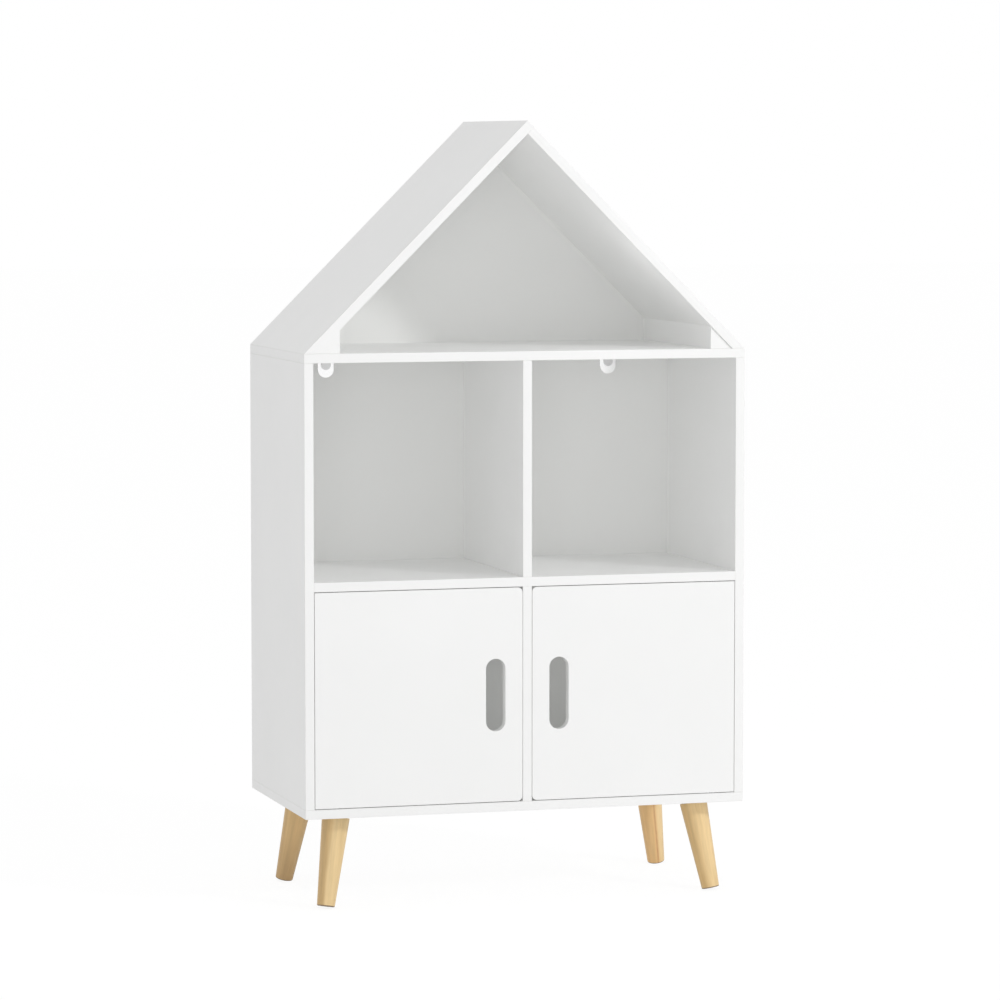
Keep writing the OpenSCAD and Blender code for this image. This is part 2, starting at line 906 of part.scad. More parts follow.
module corner_block_pins() {
    color(bright_steel) block_pin_places() cylinder(d = block_pin_d, h = block_pin_len);
}

module shelf_dowels() {
    color(dowel_wood) shelf_dowel_places() dowel(dowel_face_hold + dowel_edge_hold);
}

module divider_dowels() {
    color(dowel_wood) {
        shelf_divider_dowel_places() dowel(2 * dowel_edge_hold + board_t);
        attic_divider_dowel_places() dowel(dowel_face_hold + dowel_edge_hold);
    }
}

module ridge_dowels() {
    color(dowel_wood) ridge_dowel_places() dowel(dowel_face_hold + dowel_edge_hold);
}

module catch_screws() {
    color(bright_steel) catch_screw_places() pan_screw(fine_screw_d, catch_screw_len);
}

left_side_panel();
right_side_panel();
bottom_board();
mid_board();
shelf();
upper_divider();
lower_divider();
left_roof_panel();
right_roof_panel();
left_corner_block();
right_corner_block();
attic_back_panel();
main_back_panel();
left_door();
right_door();
left_door_pins();
right_door_pins();
door_bushes();
left_catch();
right_catch();
catch_magnets();
catch_screws();
left_strike_plate();
right_strike_plate();
left_strike_screw();
right_strike_screw();
front_left_leg();
front_right_leg();
back_left_leg();
back_right_leg();
front_left_leg_plate();
front_right_leg_plate();
back_left_leg_plate();
back_right_leg_plate();
leg_bolts();
leg_plate_screws();
left_wall_bracket();
right_wall_bracket();
wall_bracket_washers();
wall_bracket_screws();
bottom_board_screws();
mid_board_screws();
corner_block_screws();
corner_block_pins();
shelf_dowels();
divider_dowels();
ridge_dowels();
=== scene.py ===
import json
from math import atan2, cos, pi, radians, sin
import bpy
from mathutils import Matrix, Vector


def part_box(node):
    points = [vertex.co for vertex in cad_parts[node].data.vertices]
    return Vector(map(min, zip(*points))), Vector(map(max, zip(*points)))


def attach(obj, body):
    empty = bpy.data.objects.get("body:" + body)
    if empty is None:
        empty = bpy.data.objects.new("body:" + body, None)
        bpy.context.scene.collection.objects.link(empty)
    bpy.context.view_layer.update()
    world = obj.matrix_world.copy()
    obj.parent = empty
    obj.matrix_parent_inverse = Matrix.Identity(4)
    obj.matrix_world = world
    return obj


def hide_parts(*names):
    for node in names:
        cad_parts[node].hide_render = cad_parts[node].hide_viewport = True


# House shaped bookcase. The fixed frame comes first, then the finishes, the painted boards,
# the doors, the turned legs, the screws, the other fittings, and last the light and camera.

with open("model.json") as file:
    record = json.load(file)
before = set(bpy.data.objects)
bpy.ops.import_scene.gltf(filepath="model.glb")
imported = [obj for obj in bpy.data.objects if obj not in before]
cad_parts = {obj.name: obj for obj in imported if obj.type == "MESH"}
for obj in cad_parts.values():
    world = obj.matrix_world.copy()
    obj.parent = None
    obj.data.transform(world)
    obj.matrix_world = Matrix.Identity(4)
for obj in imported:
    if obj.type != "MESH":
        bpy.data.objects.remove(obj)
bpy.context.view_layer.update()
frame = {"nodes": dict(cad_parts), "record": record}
cadNodes = frame["nodes"]
mm = 0.001
print("frame loaded:", len(cadNodes), "nodes")

modelling = {
    "mergeWithin": 0.002 * mm, "hair": 0.01 * mm, "near": 0.05 * mm, "burrSegments": 2,
    "flatAngle": 0.6, "creaseAngle": 30, "smoothAngle": 32,  # degrees
    "facing": 0.9, "faceWeight": 60,  # how far a normal has to point up or down, and its weighting
}


def clearPicks():
    if bpy.context.object and bpy.context.object.mode != "OBJECT":
        bpy.ops.object.mode_set(mode="OBJECT")
    bpy.ops.object.select_all(action="DESELECT")


def pickOnly(*pieces):
    clearPicks()
    for piece in pieces:
        piece.select_set(True)
    bpy.context.view_layer.objects.active = pieces[0]


def unpickMesh(piece, kind):
    # leaves nothing selected in the mesh, in edge or face mode
    pickOnly(piece)
    bpy.ops.object.mode_set(mode="EDIT")
    bpy.ops.mesh.select_mode(type=kind)
    bpy.ops.mesh.select_all(action="DESELECT")
    bpy.ops.object.mode_set(mode="OBJECT")


def pickEdges(piece, wanted):
    # opens edit mode with those creased edges selected whose two ends wanted() takes
    unpickMesh(piece, "EDGE")
    mesh = piece.data
    normals = {}
    for face in mesh.polygons:
        for key in face.edge_keys:
            normals.setdefault(key, []).append(face.normal.copy())
    for edge in mesh.edges:
        sides = normals.get(edge.key, [])
        bend = sides[0].angle(sides[1], 0) if len(sides) == 2 else 0
        a, b = (mesh.vertices[i].co for i in edge.vertices)
        edge.select = bend > radians(modelling["creaseAngle"]) and wanted(a, b)
    bpy.ops.object.mode_set(mode="EDIT")


def everyEdge(a, b):
    return True


def pickTopFaces(piece):
    # opens edit mode with the faces that look up selected
    unpickMesh(piece, "FACE")
    for face in piece.data.polygons:
        face.select = face.normal.z > modelling["facing"]
    bpy.ops.object.mode_set(mode="EDIT")


def pushPicked(height):
    bpy.ops.mesh.extrude_region_move(TRANSFORM_OT_translate={"value": (0, 0, height)})


def roundPicked(width, segments, material=-1):
    # bevels what is selected and closes edit mode
    bpy.ops.mesh.bevel(offset=width, segments=segments, profile=0.5, clamp_overlap=False,
                       material=material)
    bpy.ops.object.mode_set(mode="OBJECT")


def copyOfNode(nodeName, pieceName):
    # a merged copy of a CAD node, with its flat faces made whole
    piece = bpy.data.objects.new(pieceName, cadNodes[nodeName].data.copy())
    piece.data.name = pieceName
    piece.data.materials.clear()
    bpy.context.scene.collection.objects.link(piece)
    pickOnly(piece)
    bpy.ops.mesh.customdata_custom_splitnormals_clear()
    bpy.ops.object.mode_set(mode="EDIT")
    bpy.ops.mesh.select_all(action="SELECT")
    bpy.ops.mesh.remove_doubles(threshold=modelling["mergeWithin"])
    bpy.ops.mesh.dissolve_limited(angle_limit=radians(modelling["flatAngle"]))
    bpy.ops.object.mode_set(mode="OBJECT")
    return piece


def copyOfPattern(pattern):
    # a copy with its own mesh
    piece = pattern.copy()
    piece.data = pattern.data.copy()
    bpy.context.scene.collection.objects.link(piece)
    return piece


def keepInBox(piece, nodeName):
    # the corners of a rounding can leave the CAD node's box by a hair
    low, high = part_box(nodeName)
    for v in piece.data.vertices:
        v.co = [min(max(c, a), b) for c, a, b in zip(v.co, low, high)]


def smoothPiece(piece, angle=modelling["smoothAngle"]):
    # soft shading over the rounded edges, with the flat faces kept flat
    pickOnly(piece)
    bpy.ops.object.shade_smooth_by_angle(angle=radians(angle))
    weights = piece.modifiers.new("evenNormals", "WEIGHTED_NORMAL")
    weights.keep_sharp = True
    weights.weight = modelling["faceWeight"]
    bpy.ops.object.modifier_apply(modifier=weights.name)


def applyPlace(piece):
    pickOnly(piece)
    bpy.ops.object.transform_apply(location=True, rotation=True, scale=True)


def carryPiece(piece, body, nodeName):
    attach(piece, body)
    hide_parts(nodeName)


def paintWhole(piece, material):
    piece.data.materials.clear()
    piece.data.materials.append(material)


def looseSolids(nodeName):
    # the low and high corner of each separate solid of a CAD node
    mesh = cadNodes[nodeName].data
    spots = {}
    joined = {}

    def spotOf(v):
        return tuple(round(c / modelling["mergeWithin"]) for c in v.co)

    def rootOf(i):
        while joined.get(i, i) != i:
            i = joined[i]
        return i

    for v in mesh.vertices:
        spots.setdefault(spotOf(v), len(spots))
    home = [spots[spotOf(v)] for v in mesh.vertices]
    for face in mesh.polygons:
        first = rootOf(home[face.vertices[0]])
        for i in face.vertices[1:]:
            joined[rootOf(home[i])] = first
    solids = {}
    for v in mesh.vertices:
        solids.setdefault(rootOf(home[v.index]), []).append(v.co)
    return [(Vector(map(min, *corners)), Vector(map(max, *corners))) for corners in solids.values()]


def addNode(tree, kind, **settings):
    # a node with its inputs and options set; the helpers after it each give a node's output
    node = tree.nodes.new("ShaderNode" + kind)
    for key, value in settings.items():
        if key in node.inputs:
            node.inputs[key].default_value = value
        else:
            setattr(node, key, value)
    return node


def feed(tree, value, socket):
    # the value is another node's socket, a colour or a number
    if isinstance(value, bpy.types.NodeSocket):
        tree.links.new(value, socket)
    else:
        socket.default_value = (*value, 1) if isinstance(value, tuple) else value


def stretched(tree, source, scale):
    spread = addNode(tree, "Mapping", Scale=scale)
    feed(tree, source, spread.inputs["Vector"])
    return spread.outputs["Vector"]


def noiseOf(tree, vector, scale=1.0, detail=2.0, roughness=0.5):
    noise = addNode(tree, "TexNoise", Scale=scale, Detail=detail, Roughness=roughness)
    feed(tree, vector, noise.inputs["Vector"])
    return noise.outputs["Fac"]


def spanOf(tree, value, low, high, start=0.3, end=0.7):
    # turns start to end into low to high
    span = addNode(tree, "MapRange",
                   **{"From Min": start, "From Max": end, "To Min": low, "To Max": high})
    feed(tree, value, span.inputs["Value"])
    return span.outputs["Result"]


def mixOf(tree, amount, first, second, blend="MIX"):
    mixed = addNode(tree, "Mix", data_type="RGBA", blend_type=blend)
    colours = {socket.name: socket for socket in mixed.inputs if socket.type == "RGBA"}
    feed(tree, amount, mixed.inputs["Factor"])
    feed(tree, first, colours["A"])
    feed(tree, second, colours["B"])
    return next(socket for socket in mixed.outputs if socket.type == "RGBA")


def mathOf(tree, operation, first, second):
    made = addNode(tree, "Math", operation=operation)
    feed(tree, first, made.inputs[0])
    feed(tree, second, made.inputs[1])
    return made.outputs["Value"]


def bumpOf(tree, height, strength, distance, under=None):
    bump = addNode(tree, "Bump", Strength=strength, Distance=distance)
    feed(tree, height, bump.inputs["Height"])
    if under:
        feed(tree, under, bump.inputs["Normal"])
    return bump.outputs["Normal"]


def newFinish(name):
    material = bpy.data.materials.new(name)
    material.use_nodes = True
    tree = material.node_tree
    return material, tree, tree.nodes["Principled BSDF"].inputs


def paintFinish(name, look):
    # sprayed lacquer on fibreboard: cloudy tone, fine orange peel, patchy gloss
    material, tree, surface = newFinish(name)
    place = addNode(tree, "TexCoord").outputs["Object"]
    cloud = noiseOf(tree, place, look["cloudScale"], 3.0)
    peel = noiseOf(tree, place, look["peelScale"])
    dust = noiseOf(tree, place, look["dustScale"], 4.0, 0.7)
    tone = mixOf(tree, spanOf(tree, cloud, 0, 1), look["shadeTone"], look["lightTone"])
    wave = bumpOf(tree, cloud, look["waveStrength"], look["waveDepth"])
    feed(tree, tone, surface["Base Color"])
    feed(tree, spanOf(tree, dust, *look["gloss"]), surface["Roughness"])
    feed(tree, bumpOf(tree, peel, look["peelStrength"], look["peelDepth"], wave), surface["Normal"])
    return material


paintLook = {
    "shadeTone": (0.880, 0.882, 0.877), "lightTone": (0.902, 0.903, 0.899),
    "cloudScale": 5.0, "peelScale": 520.0, "dustScale": 70.0, "gloss": (0.40, 0.52),
    "waveStrength": 0.12, "waveDepth": 0.6 * mm, "peelStrength": 0.22, "peelDepth": 0.05 * mm,
}
edgeLook = {  # the milled edges drink more paint, so they are rougher and a touch warmer
    "shadeTone": (0.862, 0.862, 0.850), "lightTone": (0.896, 0.896, 0.888),
    "cloudScale": 60.0, "peelScale": 900.0, "dustScale": 240.0, "gloss": (0.46, 0.62),
    "waveStrength": 0.10, "waveDepth": 0.1 * mm, "peelStrength": 0.35, "peelDepth": 0.05 * mm,
}
# the back panels' paint is greyer and a touch greener than the boards': partly their own paint, partly
# painted shade, for they stand at the back of the shaded compartments and attic
backLook = {
    "shadeTone": (0.828, 0.831, 0.821), "lightTone": (0.844, 0.846, 0.838),
    "cloudScale": 4.0, "peelScale": 380.0, "dustScale": 120.0, "gloss": (0.55, 0.70),
    "waveStrength": 0.20, "waveDepth": 0.8 * mm, "peelStrength": 0.30, "peelDepth": 0.06 * mm,
}
plasticLook = {
    "shadeTone": (0.84, 0.84, 0.83), "lightTone": (0.87, 0.87, 0.86),
    "cloudScale": 30.0, "peelScale": 2200.0, "dustScale": 500.0, "gloss": (0.42, 0.50),
    "waveStrength": 0.04, "waveDepth": 0.05 * mm, "peelStrength": 0.4, "peelDepth": 0.03 * mm,
}
bushLook = {**plasticLook, "shadeTone": (0.32, 0.32, 0.325), "lightTone": (0.36, 0.36, 0.365)}
whitePaint = paintFinish("whitePaint", paintLook)
whitePaintEdge = paintFinish("whitePaintEdge", edgeLook)
backPaintAndShade = paintFinish("backPanelPaintAndShade", backLook)
whitePlastic = paintFinish("whitePlastic", plasticLook)
greyPlastic = paintFinish("greyPlastic", bushLook)

woodLook = {
    "ringScale": 24.0, "ringWander": 2.5, "ringShade": 0.94, "streakShade": 0.86,
    "sapDrift": 0.38, "fleck": (0.42, 0.235, 0.095), "fleckStrength": 0.4, "gum": (0.52, 0.21, 0.10),
    "gloss": (0.42, 0.58), "streakBump": 0.2, "streakDepth": 0.08 * mm,
    "poreBump": 0.25, "poreDepth": 0.04 * mm, "ringSpan": (0.1, 0.9), "fleckSpan": (0.70, 0.80),
    "gumBreak": 0.25,  # how much of a gum streak is left where it is faintest
    # each pattern's scale across and along the grain
    "ringStretch": (1, 1, 0.06), "sapStretch": (85, 85, 7), "streakStretch": (300, 300, 8),
    "poreStretch": (2600, 2600, 120), "fleckStretch": (230, 230, 24), "gumStretch": (1, 1, 45),
}


def woodFinish(name, look, dark, light, turned=True):
    # heartwood that turns to sapwood, growth rings, streaks along the grain, pores and a few
    # flecks; a turned leg carries its own grain place, gum streak and sapwood share in its mesh,
    # and that share also paints light and shade: lighter on the leg's lit side, darker on its shaded
    # side
    material, tree, surface = newFinish(name)

    def carried(attribute, socket):
        kept = addNode(tree, "Attribute", attribute_name=attribute, attribute_type="GEOMETRY")
        return kept.outputs[socket]

    place = carried("grainPlace", "Vector") if turned else addNode(tree, "TexCoord").outputs["Object"]

    def grain(pattern, detail=2.0, roughness=0.5):
        return noiseOf(tree, stretched(tree, place, look[pattern]), 1.0, detail, roughness)

    sapwoodAndPaintedLight = spanOf(tree, grain("sapStretch"), 0, 1, 0.5 - look["sapDrift"], 0.5 + look["sapDrift"])
    # on a turned leg the carried share adds painted light and shade: the light tone on the leg's lit
    # side, the dark tone on its shaded side
    if turned:
        drift = mathOf(tree, "SUBTRACT", sapwoodAndPaintedLight, 0.5)
        sapwoodAndPaintedLight = mathOf(tree, "ADD", carried("sapwoodAndPaintedLight", "Fac"), drift)
    rings = addNode(tree, "TexWave", wave_type="RINGS", rings_direction="Z", Detail=2.0,
                    Scale=look["ringScale"], Distortion=look["ringWander"])
    feed(tree, stretched(tree, place, look["ringStretch"]), rings.inputs["Vector"])
    streaks = grain("streakStretch", 3.0, 0.6)
    pores = grain("poreStretch")
    flecks = grain("fleckStretch", 2.0, 0.4)
    ringShade = spanOf(tree, rings.outputs["Fac"], look["ringShade"], 1, *look["ringSpan"])
    shade = mathOf(tree, "MULTIPLY", ringShade, spanOf(tree, streaks, look["streakShade"], 1))
    tone = mixOf(tree, spanOf(tree, sapwoodAndPaintedLight, 0, 1, 0, 1), dark, light)
    tone = mixOf(tree, 1.0, tone, shade, "MULTIPLY")
    fleckAmount = spanOf(tree, flecks, 0, look["fleckStrength"], *look["fleckSpan"])
    tone = mixOf(tree, fleckAmount, tone, look["fleck"])
    if turned:
        broken = spanOf(tree, grain("gumStretch"), look["gumBreak"], 1)
        gumAmount = mathOf(tree, "MULTIPLY", carried("gumStreak", "Fac"), broken)
        tone = mixOf(tree, gumAmount, tone, look["gum"])
    deep = bumpOf(tree, streaks, look["streakBump"], look["streakDepth"])
    feed(tree, tone, surface["Base Color"])
    feed(tree, spanOf(tree, pores, *look["gloss"]), surface["Roughness"])
    feed(tree, bumpOf(tree, pores, look["poreBump"], look["poreDepth"], deep), surface["Normal"])
    return material


dowelWood = woodFinish("dowelWood", woodLook, (0.70, 0.47, 0.24), (0.80, 0.60, 0.33), False)
# the foot's end grain, much darker than the leg: partly real end grain, partly a painted contact shadow
# at the foot's rim and underside
endGrainAndPaintedShadow = woodFinish("legEndGrainAndPaintedShadow", woodLook, (0.22, 0.15, 0.09), (0.34, 0.24, 0.15), False)

metalSurface = {"hazeSpread": 9, "bump": 0.2, "depth": 0.02 * mm}
steelLook = {
    "shadeTone": (0.64, 0.64, 0.645), "lightTone": (0.73, 0.73, 0.73), "gloss": (0.24, 0.42),
    "metallic": 1.0, "grainScale": 1500.0,
}
plateLook = {
    "shadeTone": (0.955, 0.955, 0.96), "lightTone": (0.985, 0.985, 0.985), "gloss": (0.10, 0.17),
    "metallic": 1.0, "grainScale": 900.0,
}
magnetLook = {
    "shadeTone": (0.030, 0.030, 0.032), "lightTone": (0.060, 0.060, 0.064), "gloss": (0.45, 0.70),
    "metallic": 0.0, "grainScale": 2600.0,
}


def metalFinish(name, look):
    # plated or sintered metal with a fine crystal pattern and uneven gloss
    material, tree, surface = newFinish(name)
    place = addNode(tree, "TexCoord").outputs["Object"]
    crystals = noiseOf(tree, place, look["grainScale"], 3.0, 0.6)
    haze = noiseOf(tree, place, look["grainScale"] / metalSurface["hazeSpread"])
    tone = mixOf(tree, spanOf(tree, crystals, 0, 1), look["shadeTone"], look["lightTone"])
    feed(tree, tone, surface["Base Color"])
    feed(tree, spanOf(tree, haze, *look["gloss"]), surface["Roughness"])
    feed(tree, bumpOf(tree, crystals, metalSurface["bump"], metalSurface["depth"]), surface["Normal"])
    feed(tree, look["metallic"], surface["Metallic"])
    return material


zincSteel = metalFinish("zincSteel", steelLook)
darkMagnet = metalFinish("darkMagnet", magnetLook)
brightPlate = metalFinish("brightPlate", plateLook)
finishOfSlot = {
    "white_paint": whitePaint, "back_panel_paint": backPaintAndShade, "leg_wood": dowelWood,
    "dowel_wood": dowelWood, "zinc_steel": zincSteel, "bright_plate": brightPlate,
    "dark_magnet": darkMagnet, "white_plastic": whitePlastic, "grey_plastic": greyPlastic,
}
print("finishes made:", len(finishOfSlot))

# every CAD node gets its finish first, and what is replaced below is hidden later
slotOfNode = {part["node"]: part["material_slot"] for part in frame["record"]["subparts"]}
for nodeName, node in cadNodes.items():
    for holder in node.material_slots:
        holder.link = "OBJECT"
        holder.material = finishOfSlot[slotOfNode[nodeName]]

# the painted boards are copies of their CAD nodes with the edges eased
boardLook = {
    "easing": 0.5 * mm, "segments": 3, "longEdge": 11 * mm,
    "grooveFront": 127 * mm, "grooveRear": 136 * mm,  # between them lies the back panels' groove
}
boardNodes = {
    "left_side_panel": "leftSidePanel", "right_side_panel": "rightSidePanel",
    "bottom_board": "bottomBoard", "mid_board": "atticFloor", "shelf": "middleShelf",
    "upper_divider": "upperDivider", "lower_divider": "lowerDivider",
    "left_roof_panel": "leftRoofPanel", "right_roof_panel": "rightRoofPanel",
    "left_corner_block": "leftCornerBlock", "right_corner_block": "rightCornerBlock",
}
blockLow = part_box("left_corner_block")[0]


def easeEdges(piece, nodeName, look, wanted):
    # rounds the wanted edges and gives the rounding its own edge paint
    piece.data.materials.append(whitePaint)
    piece.data.materials.append(whitePaintEdge)
    pickEdges(piece, wanted)
    roundPicked(look["easing"], look["segments"], material=1)
    keepInBox(piece, nodeName)
    smoothPiece(piece)


def outsideGroove(a, b):
    return not all(boardLook["grooveFront"] < p.y < boardLook["grooveRear"] for p in (a, b))


def onBlockSeam(p):
    # on the sloping front edge of the left block, which stays sharp because it runs flush
    # into the roof panel
    offSlope = p.z - p.x - blockLow.z + blockLow.x
    return p.y < blockLow.y + modelling["near"] and abs(offSlope) < modelling["near"]


def boardEdge(a, b):
    alongBlock = onBlockSeam(a) and onBlockSeam(b) and a.x + b.x < 0
    return (a - b).length > boardLook["longEdge"] and outsideGroove(a, b) and not alongBlock


for nodeName, pieceName in boardNodes.items():
    board = copyOfNode(nodeName, pieceName)
    easeEdges(board, nodeName, boardLook, boardEdge)
    carryPiece(board, "carcass", nodeName)
print("boards made:", len(boardNodes))

doorLook = {"easing": 0.3 * mm, "segments": 3, "crossing": 8 * mm}


def doorEdge(side):
    # the outlines of the front and the back, without the strike plate's recess, and the
    # sharp corners that run through the thickness
    low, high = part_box(side + "_door")
    strikeLow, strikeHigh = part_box(side + "_strike_plate")

    def byStrike(p):
        return strikeLow.x < p.x < strikeHigh.x and strikeLow.z < p.z < strikeHigh.z

    def wanted(a, b):
        onFront = all(p.y < low.y + modelling["hair"] for p in (a, b))
        onBack = all(p.y > high.y - modelling["hair"] for p in (a, b))
        crossing = abs(a.y - b.y) > doorLook["crossing"]
        return onFront or (onBack and not (byStrike(a) and byStrike(b))) or crossing

    return wanted


for side in ("left", "right"):
    doorName = side + "_door"
    door = copyOfNode(doorName, side + "Door")
    easeEdges(door, doorName, doorLook, doorEdge(side))
    carryPiece(door, doorName, doorName)
print("doors made")

# the legs are turned once and copied, and each copy grows its own wood, with its lit side painted
# lighter and its shaded side darker
legShape = {
    "length": 115 * mm, "topRadius": 18 * mm, "footRadius": 11.5 * mm, "sides": 96,
    "footRound": 1.4 * mm, "footSegments": 5, "boltRadius": 4.05 * mm, "boltDepth": 32 * mm,
    "tilt": 13, "fromSide": 53 * mm, "fromFront": 50 * mm, "fromBack": 60 * mm,
    "plateThickness": 1.5 * mm, "headGap": 0.3 * mm, "gumHalfWidth": 1.3 * mm, "smoothAngle": 30,
}
legs = {
    # side and depth: -1 is left and front. shift: the leg's place in the log. dark and light: the
    # heartwood and sapwood tones, which are also painted shade and painted light: dark for the leg's
    # shaded side, light for its lit side. paintedLitTurn: the side of the leg that gets the light tone,
    # the side the key lamp lights, in degrees. paintedLitStart and paintedLitFull: where it starts and
    # is full, from -1 to 1 across the leg. footLoss: how much of it is lost towards the foot, so the
    # leg gets darker towards the foot. gumTurn and gum: the turn and strength of a gum streak.
    "front_left_leg": {
        "piece": "frontLeftLeg", "side": -1, "depth": -1, "shift": (0.031, 0.052, 0.0),
        "dark": (0.68, 0.465, 0.215), "light": (0.87, 0.645, 0.335),
        "paintedLitTurn": 119, "paintedLitStart": -0.40, "paintedLitFull": -0.05, "footLoss": 0, "gumTurn": -29, "gum": 0.25,
    },
    "front_right_leg": {
        "piece": "frontRightLeg", "side": 1, "depth": -1, "shift": (-0.047, 0.038, 0.41),
        "dark": (0.74, 0.50, 0.225), "light": (0.90, 0.66, 0.34),
        "paintedLitTurn": 29, "paintedLitStart": -0.75, "paintedLitFull": 0.30, "footLoss": 0, "gumTurn": 0, "gum": 0,
    },
    "back_left_leg": {
        "piece": "backLeftLeg", "side": -1, "depth": 1, "shift": (0.058, -0.021, 0.83),
        # painted shade: the body shades this leg, so both of its tones are darker than the other legs'
        # tones
        "dark": (0.54, 0.355, 0.17), "light": (0.76, 0.52, 0.245),
        "paintedLitTurn": -151, "paintedLitStart": -3, "paintedLitFull": -1.5, "footLoss": 0.9, "gumTurn": 66, "gum": 0.2,
    },
    "back_right_leg": {
        "piece": "backRightLeg", "side": 1, "depth": 1, "shift": (-0.026, -0.049, 1.27),
        "dark": (0.88, 0.57, 0.26), "light": (0.93, 0.69, 0.37),
        "paintedLitTurn": -61, "paintedLitStart": 0.3, "paintedLitFull": 0.6, "footLoss": 0, "gumTurn": -134, "gum": 1.0,
    },
}
legTilt = radians(legShape["tilt"])
legHeadRoom = legShape["plateThickness"] + legShape["headGap"] + legShape["topRadius"] * sin(legTilt)
legDrop = legHeadRoom / cos(legTilt)  # from the board down the leg's axis to its head


def turnLeg(pieceName):
    # upright under the origin, as on the lathe, with the bolt's bore in its head
    footZ = -legDrop - legShape["length"]
    clearPicks()
    bpy.ops.mesh.primitive_cone_add(
        vertices=legShape["sides"], radius1=legShape["footRadius"], radius2=legShape["topRadius"],
        depth=legShape["length"], location=(0, 0, -legDrop - legShape["length"] / 2))
    leg = bpy.context.object
    leg.name = pieceName
    leg.data.name = pieceName
    applyPlace(leg)
    pickTopFaces(leg)
    bpy.ops.mesh.inset(thickness=legShape["topRadius"] - legShape["boltRadius"])
    pushPicked(-legShape["boltDepth"])
    leg.data.materials.append(endGrainAndPaintedShadow)  # each copy gets its own wood here
    leg.data.materials.append(endGrainAndPaintedShadow)
    # the foot's rounding and underside get the dark end grain, which is also a painted contact shadow
    pickEdges(leg, lambda a, b: max(a.z, b.z) < footZ + modelling["hair"])
    roundPicked(legShape["footRound"], legShape["footSegments"], material=1)
    for face in leg.data.polygons:
        if face.normal.z < -modelling["facing"]:
            face.material_index = 1
    smoothPiece(leg, legShape["smoothAngle"])
    return leg


def clampToOne(value):
    return min(max(value, 0), 1)


def growWood(leg, wood):
    # writes the grain's place, the sapwood share with its painted light and shade, and the gum streak
    # into the mesh of an upright leg
    places = []
    sapwoodAndPaintedLight = []
    gum = []
    for v in leg.data.vertices:
        around = atan2(v.co.y, v.co.x)
        radius = max(v.co.xy.length, legShape["boltRadius"])
        across = v.co.xy.length / radius * cos(around - radians(wood["paintedLitTurn"]))
        down = clampToOne(-(v.co.z + legDrop) / legShape["length"])
        # painted light and shade: the light tone's share grows towards the side the key lamp lights
        share = clampToOne((across - wood["paintedLitStart"]) / (wood["paintedLitFull"] - wood["paintedLitStart"]))
        away = abs((around - radians(wood["gumTurn"]) + pi) % (2 * pi) - pi) * radius
        places.extend(v.co + Vector(wood["shift"]))
        sapwoodAndPaintedLight.append(share - wood["footLoss"] * down)
        gum.append(wood["gum"] * max(0, 1 - away / legShape["gumHalfWidth"]))
    attributes = leg.data.attributes
    attributes.new("grainPlace", "FLOAT_VECTOR", "POINT").data.foreach_set("vector", places)
    attributes.new("sapwoodAndPaintedLight", "FLOAT", "POINT").data.foreach_set("value", sapwoodAndPaintedLight)
    attributes.new("gumStreak", "FLOAT", "POINT").data.foreach_set("value", gum)


turned = turnLeg("turnedLeg")
bottomLow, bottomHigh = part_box("bottom_board")
for nodeName, wood in legs.items():
    leg = copyOfPattern(turned)
    leg.name = wood["piece"]
    leg.data.name = wood["piece"]
    growWood(leg, wood)
    inX = wood["side"] * (bottomHigh.x - legShape["fromSide"])
    inY = bottomLow.y + legShape["fromFront"]
    if wood["depth"] > 0:
        inY = bottomHigh.y - legShape["fromBack"]
    leg.location = (inX, inY, bottomLow.z)
    leg.rotation_euler = (0, -legTilt, atan2(wood["depth"], wood["side"]))
    applyPlace(leg)
    leg.data.materials[0] = woodFinish(wood["piece"] + "Wood", woodLook, wood["dark"], wood["light"])
    carryPiece(leg, "carcass", nodeName)
bpy.data.objects.remove(turned)
print("legs made:", len(legs))

screwShapes = {  # sizes as shares of the shank's diameter
    "flat": {"headSpread": 2.0, "height": 1 / 8, "cone": 1 / 2},
    "pan": {"headSpread": 1.9, "height": 0.6, "rounding": 0.3, "segments": 5},
}
screwLook = {"sides": 40, "smoothAngle": 30, "twist": 0.7}
crossLook = {"reach": 0.52, "arm": 0.13, "depth": 0.42, "taper": 0.55}  # shares of the head


def cutCross(screw, headWidth, topZ):
    # sinks a tapered cross into the head, whose face looks down -Z at topZ
    arm = crossLook["arm"] * headWidth
    reach = crossLook["reach"] * headWidth
    depth = crossLook["depth"] * headWidth / 2  # a share of the head's radius
    for turn in (0, pi / 2):
        clearPicks()
        bpy.ops.mesh.primitive_cube_add(size=1, location=(0, 0, topZ))
        cutter = bpy.context.object
        cutter.scale = (reach, arm, 2 * depth)
        cutter.rotation_euler = (0, 0, turn)
        applyPlace(cutter)
        pickTopFaces(cutter)
        bpy.ops.transform.resize(value=(crossLook["taper"], crossLook["taper"], 1),
                                 center_override=(0, 0, topZ + depth))
        pickOnly(screw)
        cut = screw.modifiers.new("cross", "BOOLEAN")
        cut.operation = "DIFFERENCE"
        cut.solver = "EXACT"
        cut.object = cutter
        bpy.ops.object.modifier_apply(modifier=cut.name)
        bpy.data.objects.remove(cutter)


